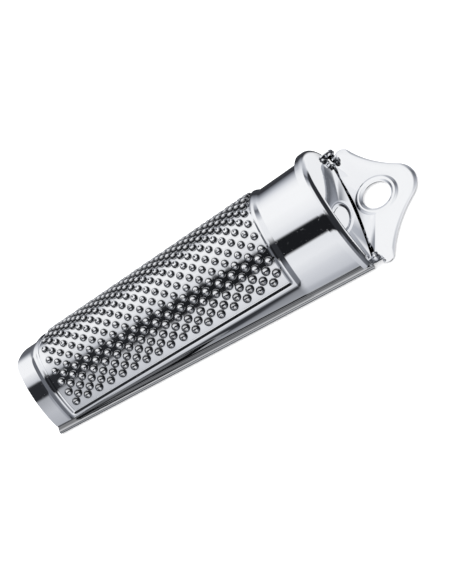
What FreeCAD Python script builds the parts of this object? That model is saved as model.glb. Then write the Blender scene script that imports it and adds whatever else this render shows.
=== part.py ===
"""Nutmeg grater: a tapered half-round grater with a storage compartment, a hinged lid and a hanger.

Millimetres. X runs along the grater from the narrow end to the hanger, Z stands up from the back
plane, on which the grater lies, and the origin is under the middle of the overall length.
"""
import FreeCAD
import Part
import math
import os
from FreeCAD import Placement, Rotation, Vector
import Sketcher

doc = FreeCAD.newDocument("NutmegGrater")

# ---------------------------------------------------------------- driving dimensions
SIZES = {
    # overall
    "body_length": (118.3, "narrow end to the mouth, at the back plane"),
    "compartment_length": (22.3, "end of the raised field to the mouth"),
    "hanger_reach": (22.9, "mouth to hanger tip, at the back plane"),
    "stock": (0.5, "steel sheet of every stamped piece but the grating insert"),
    # half-round body: one cone-like skin, whose crown and flanks are arcs
    "low_half_width": (17.7, "half width of the narrow end at the back plane"),
    "low_height": (18.5, "crown height of the narrow end"),
    "low_crown_r": (5.9, "crown radius at the narrow end"),
    "low_flank_r": (31.3, "radius of the bowed flanks at the narrow end"),
    "wide_half_width": (21.7, "half width of the mouth at the back plane"),
    "wide_height": (24.2, "crown height of the mouth"),
    "wide_crown_r": (10.8, "crown radius at the mouth"),
    "wide_flank_r": (27.5, "radius of the bowed flanks at the mouth"),
    "root_r": (0.5, "bend where the flank turns out into the flange"),
    # hems, folded from the same sheet along both edges
    "hem_reach": (1.4, "outer edge of the hems beyond the foot of the flanks"),
    "hem_lip": (1.4, "flat of the hem's underside, inside its round edge"),
    # raised field round the grating window
    "field_start": (7.8, "narrow end of the raised field"),
    "field_bevel": (2.2, "length of the bevels at its two ends"),
    "field_lift": (0.8, "height of the raised field over the body's skin"),
    "field_root": (0.3, "foot of the field's side walls, inside the body's skin"),
    "frame_end": (1.6, "frame left between window and field at both ends"),
    "frame_side": (2.0, "frame left between window and field along both sides"),
    "wall_low": (3.07, "foot of the flank to the window along the curve, at the narrow end"),
    "wall_wide": (10.23, "foot of the flank to the window along the curve, at the mouth"),
    # grating insert
    "insert_stock": (0.4, "sheet of the grating insert"),
    "insert_gap": (0.05, "gap between frame and insert"),
    "insert_lap": (1.2, "insert under the frame, all round"),
    "teeth_along": (17, "teeth in a row"),
    "tooth_rows": (21, "rows across the curve"),
    "tooth_lead": (2.9, "window's narrow end to the first tooth"),
    "tooth_tail": (1.45, "last tooth to the window's wide end"),
    "row_margin_low": (2.7, "outer rows to the window's long edges, at the narrow end"),
    "row_margin_wide": (2.3, "outer rows to the window's long edges, at the mouth"),
    "tooth_foot_r": (1.5, "corner radius of a tooth at the sheet"),
    "tooth_tip_r": (0.62, "corner radius of a tooth at its sharp rim"),
    "tooth_height": (0.95, "height of a tooth"),
    "pierce_low_r": (1.2, "corner radius of the pierced hollow below the sheet"),
    "pierce_high_r": (0.55, "corner radius of the pierced hollow above the tooth"),
    # bulkhead and back plate
    "bulkhead_ahead": (3.0, "end of the raised field to the bulkhead's flat face"),
    "bulkhead_rim": (3.0, "length of the bulkhead's rim"),
    "bulkhead_gap": (0.1, "gap between bulkhead and shell"),
    "back_ahead": (0.4, "end of the raised field to the inner edge of the back plate"),
    # hanger, measured forward from the mouth
    "lap_start": (-5.8, "base edge of the hanger, under the back plate"),
    "lap_gap": (0.35, "gap between the lap and the lips of the hems, at the mouth"),
    "lug_start": (0.65, "where the hanger widens to its lugs"),
    "hanger_notch": (3.1, "shoulders of the hanger, clear of the ears"),
    "hanger_corner_r": (2.5, "round of the base corners"),
    "hanger_corner_x": (4.7, "centres of the base corners"),
    "hanger_spread": (1.8, "base of the hanger beyond the mouth, at either side"),
    "hanger_waist_r": (40.0, "hollow sweep from base to tip"),
    "hanger_tip_r": (8.3, "round of the tip"),
    "emboss_margin": (0.8, "flat rim round the raised middle"),
    "emboss_slope": (1.5, "width of its sloping border"),
    "emboss_lift": (0.4, "lift of the raised middle"),
    "emboss_start": (4.3, "base edge of the raised middle"),
    "hole_r": (4.65, "hanging hole"),
    "hole_reach": (9.6, "centre of the hanging hole"),
    "ring_r": (5.95, "crest of the bead round the hole"),
    "ring_half_width": (1.15, "half width of the bead"),
    "ring_lift": (0.4, "height of the bead over the raised middle"),
    # lid, measured in its own leaning plane
    "lid_lean": (8.0, "lean of the lid and of the mouth, degrees"),
    "lid_gap": (0.5, "gap between mouth and lid plate"),
    "lid_base": (2.3, "straight lower edge of the lid"),
    "lid_overhang": (1.9, "lid's outside beyond the mouth, all round"),
    "lid_raise": (0.2, "extra height of the lid's crown, for the lean of the mouth"),
    "lid_depth": (3.2, "depth of the lid with its skirt"),
    "lid_shoulder_r": (2.4, "outer shoulder"),
    "lid_dome": (1.1, "bulge of the lid's face"),
    "lid_dome_reach": (21.0, "distance from the top of the bulge to its foot"),
    "lid_dome_rise": (10.5, "top of the bulge over the back plane"),
    "skirt_base": (3.5, "lower ends of the skirt"),
    # hinge
    "hinge_reach": (1.4, "hinge axis in front of the lid's face"),
    "hinge_rise": (3.1, "hinge axis up the lid's face"),
    "ear_r": (1.5, "round end of the lid's ears"),
    "ear_spread": (0.5, "outer face of the ears beyond the half width of the mouth"),
    "lug_r": (1.1, "round end of the hanger's lugs"),
    "ear_gap": (0.3, "gap between ear and lug"),
    "pin_r": (0.6, "shank of the hinge pins"),
    "pin_run_gap": (0.06, "running clearance of the pin in the lug"),
    "pin_head_r": (1.3, "outer, domed head"),
    "pin_head_height": (0.75, "height of the domed head"),
    "pin_tail_r": (1.1, "inner, clenched head"),
    "pin_tail_height": (0.4, "thickness of the inner head"),
    "pin_side_gap": (0.1, "gap between lug and inner head"),
}

sheet = doc.addObject("Spreadsheet::Sheet", "Sizes")
for row, (alias, (number, note)) in enumerate(SIZES.items(), start=1):
    sheet.set(f"A{row}", alias)
    sheet.set(f"B{row}", str(number))
    sheet.set(f"C{row}", note)
    sheet.setAlias(f"B{row}", alias)
doc.recompute()


def size(alias):
    """A driving dimension as a number."""
    return float(sheet.get(alias))


STOCK = size("stock")
BODY_END = size("body_length")
OVERALL = BODY_END + size("hanger_reach")
FIELD_START = size("field_start")
FIELD_END = BODY_END - size("compartment_length")
LEAN = math.radians(size("lid_lean"))
LID_FACE = BODY_END + (size("lid_gap") + STOCK) / math.cos(LEAN)
HINGE_X = LID_FACE + size("hinge_reach") * math.cos(LEAN) - size("hinge_rise") * math.sin(LEAN)
HINGE_Z = size("hinge_reach") * math.sin(LEAN) + size("hinge_rise") * math.cos(LEAN)
# layers of a hem from below: folded lip, back plate, flange
PLATE_Z = STOCK
FLANGE_Z = PLATE_Z + STOCK
FLANGE_TOP = FLANGE_Z + STOCK
HEM_R = FLANGE_TOP / 2


def station(distance):
    """X of a distance from the narrow end."""
    return distance - OVERALL / 2


def past_mouth(alias):
    """Distance from the narrow end of a size that is measured forward from the mouth."""
    return BODY_END + size(alias)


def blend(low, high, share):
    return low + (high - low) * share


def hem_line(distance):
    """Centre line of the hem's round edge at a distance from the narrow end."""
    foot = blend(size("low_half_width"), size("wide_half_width"), distance / BODY_END)
    return foot + size("hem_reach") - HEM_R


class Arch:
    """Half-round section: a crown arc that runs tangent into two flatter flank arcs.

    A place on it is given by its distance along the curve from the crown.
    """

    def __init__(self, half_width, height, crown_r, flank_r):
        rise = height - crown_r
        spread = flank_r - crown_r
        reach = math.hypot(half_width, rise)
        cosine = (flank_r**2 - spread**2 - reach**2) / (2 * spread * reach)
        self.turn = math.acos(cosine) - math.atan2(rise, half_width)
        self.crown_centre = Vector(0, 0, rise)
        self.flank_centre = Vector(0, -spread * math.cos(self.turn), rise - spread * math.sin(self.turn))
        self.crown_r = crown_r
        self.flank_r = flank_r

    def offset(self, distance):
        """The same arch on a parallel skin, outwards if positive."""
        other = Arch.__new__(Arch)
        other.__dict__.update(self.__dict__)
        other.crown_r = self.crown_r + distance
        other.flank_r = self.flank_r + distance
        return other

    def crown_length(self):
        return self.crown_r * (math.pi / 2 - self.turn)

    def angle(self, along):
        if along <= self.crown_length():
            return math.pi / 2 - along / self.crown_r
        return self.turn - (along - self.crown_length()) / self.flank_r

    def at_angle(self, angle):
        normal = Vector(0, math.cos(angle), math.sin(angle))
        if angle >= self.turn:
            return self.crown_centre + normal * self.crown_r
        return self.flank_centre + normal * self.flank_r

    def flank_angle(self, height):
        """Angle of the flank's point at a height."""
        return math.asin((height - self.flank_centre.z) / self.flank_r)

    def along(self, height):
        """Distance along the curve from the crown down to a height."""
        return self.crown_length() + (self.turn - self.flank_angle(height)) * self.flank_r


def body_arch(distance):
    """Outer skin of the body's cone, which its two smooth ends follow."""
    share = distance / BODY_END
    return Arch(*[
        blend(size(f"low_{name}"), size(f"wide_{name}"), share)
        for name in ("half_width", "height", "crown_r", "flank_r")
    ])


def field_arch(distance):
    """Outer skin of the raised field."""
    return body_arch(distance).offset(size("field_lift"))


def mirrored(point):
    return Vector(point.x, -point.y, point.z)


def closed_profile(x, segments):
    """Wire at X through segments of two points (line) or three points (arc)."""
    edges = []
    for points in segments:
        placed = [Vector(x, point.y, point.z) for point in points]
        if len(placed) == 2:
            edges.append(Part.makeLine(placed[0], placed[1]))
        else:
            edges.append(Part.Arc(*placed).toShape())
    return Part.Wire(edges)


def both_sides(half):
    """Segments of one side, then their mirror images in reverse order."""
    other = [[mirrored(point) for point in reversed(points)] for points in reversed(half)]
    return half + other


def arch_skin(arch, foot_angle):
    """Flank and crown segments of one side, from a foot angle up to the crown."""
    middle = (foot_angle + arch.turn) / 2
    flank = [arch.at_angle(foot_angle), arch.at_angle(middle), arch.at_angle(arch.turn)]
    middle = (arch.turn + math.pi / 2) / 2
    crown = [arch.at_angle(arch.turn), arch.at_angle(middle), arch.at_angle(math.pi / 2)]
    return [flank, crown]


def shell_profile(distance, arch, ridge_angle, flat_wall):
    """Sheet section of the shell: hem, flange, root bend, side wall, flank and crown.

    The side wall runs from the root bend to the ridge: a part of the arch itself, or a flat
    wall whose foot stands a little inside the body's skin.
    """
    bend = size("root_r")
    wall_z = FLANGE_TOP + bend
    hem = hem_line(distance)
    lip = hem - size("hem_lip")
    cone = body_arch(distance)
    root_y = cone.at_angle(cone.flank_angle(wall_z)).y
    if flat_wall:
        root_y -= size("field_root")
    bend_centre = Vector(0, root_y + bend, wall_z)
    slant = Vector(0, -math.sqrt(0.5), -math.sqrt(0.5))

    def half_skin(skin, inset):
        """Segments of one side on the outer skin, or on the inner one for an inset of one sheet."""
        wall_foot = Vector(0, root_y - inset, wall_z)
        ridge = skin.at_angle(ridge_angle)
        wall = [wall_foot, ridge]
        if not flat_wall:
            middle = (skin.flank_angle(wall_z) + ridge_angle) / 2
            wall = [wall_foot, skin.at_angle(middle), ridge]
        top = FLANGE_TOP - inset
        return [
            [Vector(0, lip, inset), Vector(0, hem, inset)],
            [Vector(0, hem, inset), Vector(0, hem + HEM_R - inset, HEM_R), Vector(0, hem, top)],
            [Vector(0, hem, top), Vector(0, root_y + bend, top)],
            [Vector(0, root_y + bend, top), bend_centre + slant * (bend + inset), wall_foot],
            wall,
        ] + arch_skin(skin, ridge_angle)

    outside = both_sides(half_skin(arch, 0))
    inside = both_sides(half_skin(arch.offset(-STOCK), STOCK))
    return sheet_profile(distance, outside, inside)


def sheet_profile(distance, outside, inside):
    """Closed wire between two skins that both run from the right side to the left."""
    back = [list(reversed(points)) for points in reversed(inside)]
    left_edge = [outside[-1][-1], back[0][0]]
    right_edge = [back[-1][-1], outside[0][0]]
    return closed_profile(station(distance), outside + [left_edge] + back + [right_edge])


def band_profile(distance, outer, inner, half_angle):
    """Section between two parallel skins, cut off square to them at both sides."""
    outside = both_sides(arch_skin(outer, half_angle))
    inside = both_sides(arch_skin(inner, half_angle))
    return sheet_profile(distance, outside, inside)


def dee_profile(distance, arch, base):
    """Closed section under an arch, flat at a base height."""
    half = arch_skin(arch, arch.flank_angle(base))
    segments = both_sides(half)
    return closed_profile(station(distance), segments + [[segments[-1][-1], segments[0][0]]])


def add_loft(name, wires):
    """Ruled solid through section wires, which stay in the document as its sections."""
    sections = []
    for index, wire in enumerate(wires, start=1):
        section = doc.addObject("Part::Feature", f"{name}_section_{index}")
        section.Shape = wire
        sections.append(section)
    loft = doc.addObject("Part::Loft", name)
    loft.Sections = sections
    loft.Solid = True
    loft.Ruled = True
    return loft


def add_cut(name, base, tool):
    cut = doc.addObject("Part::Cut", name)
    cut.Base = base
    cut.Tool = tool
    return cut


def window_half(distance):
    """Half width of the window along the curve."""
    low = field_arch(0).along(FLANGE_TOP) - size("wall_low")
    wide = field_arch(BODY_END).along(FLANGE_TOP) - size("wall_wide")
    return blend(low, wide, distance / BODY_END)


def window_angle(distance, extra=0.0):
    """Angle of the window's long edge on the field's skin, or of a line beside it."""
    return field_arch(distance).angle(window_half(distance) + extra)


# ---------------------------------------------------------------- grater shell
# One drawn and folded sheet: end band, raised field with a window, compartment, flanges, hems.
def smooth_section(distance):
    """Section of an end, its flank divided at the height of the field's nearest ridge."""
    nearest = min(max(distance, FIELD_START), FIELD_END)
    field_ridge = field_arch(nearest).at_angle(window_angle(nearest, size("frame_side")))
    arch = body_arch(distance)
    return shell_profile(distance, arch, arch.flank_angle(field_ridge.z), False)


def field_section(distance):
    ridge = window_angle(distance, size("frame_side"))
    return shell_profile(distance, field_arch(distance), ridge, True)


shell_blank = add_loft(
    "shell_blank",
    [
        smooth_section(0),
        smooth_section(FIELD_START - size("field_bevel")),
        field_section(FIELD_START),
        field_section(FIELD_END),
        smooth_section(FIELD_END + size("field_bevel")),
        smooth_section(BODY_END),
    ],
)

window_start = FIELD_START + size("frame_end")
window_end = FIELD_END - size("frame_end")
window_tool = add_loft(
    "window_tool",
    [
        band_profile(d, field_arch(d).offset(2), field_arch(d).offset(-3 * STOCK), window_angle(d))
        for d in (window_start, window_end)
    ],
)

# The mouth leans back with the lid, so a leaning block takes off what stands in front of it.
mouth_turn = Rotation(Vector(0, 1, 0), -size("lid_lean"))
mouth_tool = doc.addObject("Part::Box", "mouth_tool")
mouth_tool.setExpression("Length", "Sizes.wide_height")
mouth_tool.setExpression("Width", "4 * Sizes.wide_half_width")
mouth_tool.setExpression("Height", "3 * Sizes.wide_height")
mouth_corner = Vector(0, -2 * size("wide_half_width"), -size("wide_height"))
mouth_tool.Placement = Placement(
    Vector(station(BODY_END), 0, 0) + mouth_turn.multVec(mouth_corner), mouth_turn
)

shell_windowed = add_cut("shell_windowed", shell_blank, window_tool)
grater_shell = add_cut("grater_shell", shell_windowed, mouth_tool)


# ---------------------------------------------------------------- grating insert
# A curved sheet behind the window, punched from below into rows of three-sided teeth whose tips
# are pierced open to a sharp edge. Every second row is set half a pitch along, and the rows
# spread with the taper.
def insert_skin(distance):
    return field_arch(distance).offset(-STOCK - size("insert_gap"))


def insert_section(distance):
    outer = insert_skin(distance)
    inner = outer.offset(-size("insert_stock"))
    return band_profile(distance, outer, inner, window_angle(distance, size("insert_lap")))


def tooth_frame(distance, along):
    """Foot, outward normal and the two sheet directions at a tooth's place."""
    skin = insert_skin(distance)
    angle = field_arch(distance).angle(abs(along))
    foot = skin.at_angle(angle)
    normal = Vector(0, math.cos(angle), math.sin(angle))
    if along < 0:
        foot, normal = mirrored(foot), mirrored(normal)
    foot.x = station(distance)
    lengthwise = Vector(1, 0, 0)
    return foot, normal, lengthwise, normal.cross(lengthwise)


def pyramid(frame, low, low_r, high, high_r):
    """Three-sided frustum along a tooth's normal, one corner towards the narrow end."""
    foot, normal, lengthwise, crosswise = frame
    rings = []
    for level, radius in ((low, low_r), (high, high_r)):
        ring = []
        for corner in range(3):
            turn = math.pi + corner * 2 * math.pi / 3
            out = lengthwise * math.cos(turn) + crosswise * math.sin(turn)
            ring.append(foot + normal * level + out * radius)
        rings.append(ring)
    bottom, top = rings
    faces = [Part.Face(Part.makePolygon(ring + ring[:1])) for ring in rings]
    for corner in range(3):
        follow = (corner + 1) % 3
        outline = [bottom[corner], bottom[follow], top[follow], top[corner], bottom[corner]]
        faces.append(Part.Face(Part.makePolygon(outline)))
    solid = Part.Solid(Part.Shell(faces))
    if solid.Volume < 0:
        solid.reverse()
    return solid


insert_blank = add_loft(
    "insert_blank",
    [
        insert_section(window_start - size("insert_lap")),
        insert_section(window_end + size("insert_lap")),
    ],
)
doc.recompute()

teeth = []
pierces = []
rows = int(size("tooth_rows"))
columns = int(size("teeth_along"))
insert_stock = size("insert_stock")
first_tooth = window_start + size("tooth_lead")
tooth_pitch = (window_end - size("tooth_tail") - first_tooth) / (columns - 0.5)
for row in range(rows):
    stagger = 0.5 * (row % 2)
    for column in range(columns):
        place = first_tooth + (column + stagger) * tooth_pitch
        margin = blend(size("row_margin_low"), size("row_margin_wide"), place / BODY_END)
        from_middle = (2 * row - rows + 1) / (rows - 1)
        frame = tooth_frame(place, from_middle * (window_half(place) - margin))
        foot_r = size("tooth_foot_r")
        tip_r = size("tooth_tip_r")
        teeth.append(pyramid(frame, -insert_stock / 2, foot_r, size("tooth_height"), tip_r))
        low_r = size("pierce_low_r")
        high_r = size("pierce_high_r")
        top = size("tooth_height") + insert_stock / 4
        pierces.append(pyramid(frame, -2 * insert_stock, low_r, top, high_r))

grating_insert = doc.addObject("Part::Feature", "grating_insert")
grating_insert.Shape = insert_blank.Shape.multiFuse(teeth).cut(pierces)


# ---------------------------------------------------------------- bulkhead
# D-shaped cup that closes the inner end of the compartment, its rim towards the mouth.
def bulkhead_arch(distance, inward):
    return body_arch(distance).offset(-STOCK - size("bulkhead_gap") - inward)


bulkhead_start = FIELD_END + size("bulkhead_ahead")
bulkhead_end = bulkhead_start + size("bulkhead_rim")
bulkhead_blank = add_loft(
    "bulkhead_blank",
    [dee_profile(d, bulkhead_arch(d, 0), FLANGE_Z) for d in (bulkhead_start, bulkhead_end)],
)
bulkhead_hollow = add_loft(
    "bulkhead_hollow",
    [
        dee_profile(d, bulkhead_arch(d, STOCK), FLANGE_Z + STOCK)
        for d in (bulkhead_start + STOCK, bulkhead_end + STOCK)
    ],
)
bulkhead = add_cut("bulkhead", bulkhead_blank, bulkhead_hollow)


# ---------------------------------------------------------------- sketch helpers
def add_sketch(body, name, role, lift_formula):
    """Sketch on one of a body's own origin planes, lifted along the plane's normal."""
    sketch = body.newObject("Sketcher::SketchObject", name)
    plane = next(plane for plane in body.Origin.OriginFeatures if plane.Role == role)
    sketch.AttachmentSupport = (plane, [""])
    sketch.MapMode = "FlatFace"
    sketch.setExpression("AttachmentOffset.Base.z", lift_formula)
    return sketch


def add_outline(sketch, corners):
    """Closed polygon whose corners are (x, y, x formula, y formula)."""
    count = len(corners)
    for index in range(count):
        start = corners[index]
        end = corners[(index + 1) % count]
        line = Part.LineSegment(Vector(start[0], start[1], 0), Vector(end[0], end[1], 0))
        sketch.addGeometry(line, False)
    for index, (x, y, x_formula, y_formula) in enumerate(corners):
        sketch.addConstraint(Sketcher.Constraint("Coincident", index, 2, (index + 1) % count, 1))
        for kind, value, formula in (("DistanceX", x, x_formula), ("DistanceY", y, y_formula)):
            dimension = sketch.addConstraint(Sketcher.Constraint(kind, -1, 1, index, 1, value))
            sketch.setExpression(f"Constraints[{dimension}]", formula)


def add_pad(body, name, sketch, formula):
    pad = body.newObject("PartDesign::Pad", name)
    pad.Profile = sketch
    pad.setExpression("Length", formula)
    return pad


# ---------------------------------------------------------------- back plate
# Flat plate that closes the compartment's back, both its edges held in the hems.
def edge_formula(distance):
    """Formula of the hem's centre line, where the plate's edge lies."""
    growth = f"(Sizes.wide_half_width - Sizes.low_half_width) * {distance} / Sizes.body_length"
    return f"Sizes.low_half_width + {growth} + Sizes.hem_reach - 1.5 * Sizes.stock"


compartment_back = doc.addObject("PartDesign::Body", "compartment_back")
back_sketch = add_sketch(compartment_back, "back_outline", "XY_Plane", "Sizes.stock")
plate_ends = (
    (FIELD_END + size("back_ahead"),
     "(Sizes.body_length - Sizes.compartment_length + Sizes.back_ahead)"),
    (BODY_END, "Sizes.body_length"),
)
half_overall = "(Sizes.body_length + Sizes.hanger_reach) / 2"
right_side = [
    (station(end), hem_line(end), f"{formula} - {half_overall}", edge_formula(formula))
    for end, formula in plate_ends
]
left_side = [(x, -y, x_name, f"-({y_name})") for x, y, x_name, y_name in reversed(right_side)]
add_outline(back_sketch, right_side + left_side)
add_pad(compartment_back, "back_sheet", back_sketch, "Sizes.stock")


# ---------------------------------------------------------------- hanger
# Stamped plate, flush with the hems' undersides and welded under the back plate. It has rounded
# corners, a raised middle, a bead round its hole and two hinge lugs.
HANGER_TOP = STOCK
EAR_OUTER = size("wide_half_width") + size("ear_spread")
LUG_OUTER = EAR_OUTER - STOCK - size("ear_gap")
LAP_HALF = hem_line(BODY_END) - size("hem_lip") - size("lap_gap")
HINGE_AT = Vector(station(HINGE_X), 0, HINGE_Z)


def waist_centre():
    """Centre of the hollow sweep that touches both the base corner and the tip."""
    base_half = size("wide_half_width") + size("hanger_spread")
    corner = Vector(past_mouth("hanger_corner_x"), base_half - size("hanger_corner_r"), 0)
    tip = Vector(OVERALL - size("hanger_tip_r"), 0, 0)
    to_corner = size("hanger_waist_r") + size("hanger_corner_r")
    to_tip = size("hanger_waist_r") + size("hanger_tip_r")
    line = tip - corner
    length = line.Length
    forward = (to_corner**2 - to_tip**2 + length**2) / (2 * length)
    aside = math.sqrt(to_corner**2 - forward**2)
    line.normalize()
    return corner, tip, corner + line * forward + Vector(-line.y, line.x, 0) * aside


def hanger_outline(start, inset, z):
    """Outline from a base edge round the tip and back, set in from the hanger's edge."""
    corner, tip, waist = waist_centre()
    corner_r = size("hanger_corner_r") - inset
    waist_r = size("hanger_waist_r") + inset
    tip_r = size("hanger_tip_r") - inset
    base_angle = math.acos((start - corner.x) / corner_r) if abs(start - corner.x) < corner_r else 0
    leave = math.atan2(waist.y - corner.y, waist.x - corner.x)
    arrive = math.atan2(waist.y - tip.y, waist.x - tip.x)

    def on(centre, radius, angle):
        return Vector(centre.x + radius * math.cos(angle), centre.y + radius * math.sin(angle), 0)

    round_corner = [on(corner, corner_r, (1 - t) * base_angle + t * leave) for t in (0, 0.5, 1)]
    middle = (leave + arrive) / 2 + math.pi
    sweep = [round_corner[-1], on(waist, waist_r, middle), on(tip, tip_r, arrive)]
    half = [round_corner, sweep]
    other = [[mirrored(point) for point in reversed(points)] for points in reversed(half)]
    nose = [sweep[-1], Vector(tip.x + tip_r, 0, 0), mirrored(sweep[-1])]
    base = [other[-1][-1], round_corner[0]]
    edges = []
    for points in half + [nose] + other + [base]:
        placed = [Vector(station(point.x), point.y, z) for point in points]
        if len(placed) == 2:
            edges.append(Part.makeLine(placed[0], placed[1]))
        else:
            edges.append(Part.Arc(*placed).toShape())
    return Part.Wire(edges)


def raised_middle(name, top):
    """Frustum of the embossed middle, whose upper face lies at that height."""
    margin = size("emboss_margin")
    slope = size("emboss_slope")
    start = past_mouth("emboss_start")
    low = hanger_outline(start, margin, top - size("emboss_lift"))
    high = hanger_outline(start + slope, margin + slope, top)
    return add_loft(name, [low, high])


def bead(name, base_z):
    """Ring with sloping sides round the hole, standing on that height."""
    centre = Vector(station(past_mouth("hole_reach")), 0, 0)
    foot = size("ring_half_width")
    crest = foot / 3
    corners = [
        centre + Vector(size("ring_r") + aside, 0, base_z + lift)
        for aside, lift in ((-foot, 0), (-crest, size("ring_lift")), (crest, size("ring_lift")), (foot, 0))
    ]
    section = doc.addObject("Part::Feature", f"{name}_section")
    section.Shape = Part.Face(Part.makePolygon(corners + corners[:1]))
    ring = doc.addObject("Part::Revolution", name)
    ring.Source = section
    ring.Base = centre
    ring.Axis = Vector(0, 0, 1)
    ring.Angle = 360
    ring.Solid = True
    return ring


def add_tab(name, outline, hole_r, hole_at, thickness, low_y):
    """Flat tab standing in an XZ plane, with a pin hole."""
    hole = Part.Wire(Part.makeCircle(hole_r, hole_at, Vector(0, 1, 0)))
    face = Part.Face(outline).cut(Part.Face(hole))
    face.translate(Vector(0, low_y, 0))
    profile = doc.addObject("Part::Feature", f"{name}_profile")
    profile.Shape = face
    tab = doc.addObject("Part::Extrusion", name)
    tab.Base = profile
    tab.DirMode = "Custom"
    tab.Dir = Vector(0, 1, 0)
    tab.LengthFwd = thickness
    tab.Solid = True
    return tab


def lug_outline():
    reach = size("lug_r")
    left = Vector(HINGE_AT.x - reach, 0, 0)
    right = Vector(HINGE_AT.x + reach, 0, 0)
    left_top = Vector(left.x, 0, HINGE_Z)
    right_top = Vector(right.x, 0, HINGE_Z)
    crest = Vector(HINGE_AT.x, 0, HINGE_Z + reach)
    return Part.Wire([
        Part.makeLine(left, left_top),
        Part.Arc(left_top, crest, right_top).toShape(),
        Part.makeLine(right_top, right),
        Part.makeLine(right, left),
    ])


plate_outline = doc.addObject("Part::Feature", "hanger_plate_outline")
plate_outline.Shape = hanger_outline(past_mouth("hanger_notch"), 0, 0)
hanger_plate = doc.addObject("Part::Extrusion", "hanger_plate")
hanger_plate.Base = plate_outline
hanger_plate.DirMode = "Custom"
hanger_plate.Dir = Vector(0, 0, 1)
hanger_plate.setExpression("LengthFwd", "Sizes.stock")
hanger_plate.Solid = True


def hanger_strip(name, start, half_width):
    """Straight strip of the hanger's plate, from a station to its shoulders."""
    strip = doc.addObject("Part::Box", name)
    strip.setExpression("Length", f"Sizes.hanger_notch - Sizes.{start} + Sizes.stock")
    strip.Width = 2 * half_width
    strip.setExpression("Height", "Sizes.stock")
    strip.Placement.Base = Vector(station(past_mouth(start)), -half_width, 0)
    return strip


hanger_hole = doc.addObject("Part::Cylinder", "hanger_hole")
hanger_hole.setExpression("Radius", "Sizes.hole_r")
hanger_hole.setExpression("Height", "8 * Sizes.stock")
hanger_hole.Placement.Base = Vector(station(past_mouth("hole_reach")), 0, -STOCK)

lugs = []
for side, low_y in (("left", LUG_OUTER - STOCK), ("right", -LUG_OUTER)):
    hole_r = size("pin_r") + size("pin_run_gap")
    lugs.append(add_tab(f"lug_{side}", lug_outline(), hole_r, HINGE_AT, STOCK, low_y))

middle_top = HANGER_TOP + size("emboss_lift")
hanger_solid = doc.addObject("Part::MultiFuse", "hanger_solid")
hanger_solid.Shapes = [
    hanger_plate,
    hanger_strip("lug_strip", "lug_start", LUG_OUTER),
    hanger_strip("lap_strip", "lap_start", LAP_HALF),
    raised_middle("emboss", middle_top),
    bead("hole_bead", middle_top),
] + lugs
hanger_hollow = doc.addObject("Part::MultiFuse", "hanger_hollow")
hanger_hollow.Shapes = [
    raised_middle("emboss_under", middle_top - STOCK),
    bead("bead_under", middle_top - STOCK),
    hanger_hole,
]
hanger = add_cut("hanger", hanger_solid, hanger_hollow)


# ---------------------------------------------------------------- lid
# Drawn cap over the mouth: a slightly bulging D, a rounded shoulder, a short skirt, two ears.
LID_PLACE = Placement(Vector(station(LID_FACE), 0, 0), mouth_turn)
overhang = size("lid_overhang")
lid_arch = Arch(
    size("wide_half_width") + overhang,
    size("wide_height") + overhang + size("lid_raise"),
    size("wide_crown_r") + overhang,
    size("wide_flank_r") + overhang,
)


def dee_block(name, arch, base, inset, back, shoulder_r):
    """Block under an arch in the lid's own plane, with a bulging face and a rounded shoulder.

    The face is part of a sphere round one centre for both skins, set in by the inset.
    """
    dome = size("lid_dome")
    reach = size("lid_dome_reach")
    ball_r = (reach**2 + dome**2) / (2 * dome)
    ball_centre = LID_PLACE.multVec(Vector(dome - ball_r, 0, size("lid_dome_rise")))
    half = arch_skin(arch, arch.flank_angle(base))
    segments = both_sides(half)
    segments.append([segments[-1][-1], segments[0][0]])
    profile = doc.addObject("Part::Feature", f"{name}_profile")
    profile.Shape = closed_profile(back, segments)
    profile.Placement = LID_PLACE
    block = doc.addObject("Part::Extrusion", f"{name}_block")
    block.Base = profile
    block.DirMode = "Custom"
    block.Dir = LID_PLACE.Rotation.multVec(Vector(1, 0, 0))
    block.LengthFwd = 2 * dome - back
    block.Solid = True
    ball = doc.addObject("Part::Sphere", f"{name}_ball")
    ball.Radius = ball_r - inset
    ball.Placement = Placement(ball_centre, Rotation(Vector(0, 0, 1), 180))
    bulged = doc.addObject("Part::Common", f"{name}_bulged")
    bulged.Base = block
    bulged.Tool = ball
    doc.recompute()
    rounded = doc.addObject("Part::Fillet", name)
    rounded.Base = bulged
    rounded.Edges = [
        (index, shoulder_r, shoulder_r)
        for index, edge in enumerate(bulged.Shape.Edges, start=1)
        if all(
            abs((edge.valueAt(end) - ball_centre).Length - ball.Radius.Value) < STOCK / 100
            for end in edge.ParameterRange
        )
        and LID_PLACE.inverse().multVec(edge.CenterOfMass).z > base + STOCK
    ]
    return rounded


lid_depth = size("lid_depth")
lid_base = size("lid_base")
shoulder_r = size("lid_shoulder_r")
lid_outside = dee_block("lid_outside", lid_arch, lid_base, 0, -lid_depth, shoulder_r)
lid_inside = dee_block(
    "lid_inside", lid_arch.offset(-STOCK), 0, STOCK, -2 * lid_depth, shoulder_r - STOCK
)
lid_cap = add_cut("lid_cap", lid_outside, lid_inside)

skirt_trim = doc.addObject("Part::Box", "skirt_trim")
skirt_trim.setExpression("Length", "2 * Sizes.lid_depth")
skirt_trim.setExpression("Width", "4 * Sizes.wide_half_width")
skirt_trim.setExpression("Height", "2 * Sizes.skirt_base")
trim_corner = Vector(
    -2 * lid_depth - STOCK, -2 * size("wide_half_width"), -size("skirt_base")
)
skirt_trim.Placement = LID_PLACE.multiply(Placement(trim_corner, Rotation()))
lid_trimmed = add_cut("lid_trimmed", lid_cap, skirt_trim)


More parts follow.
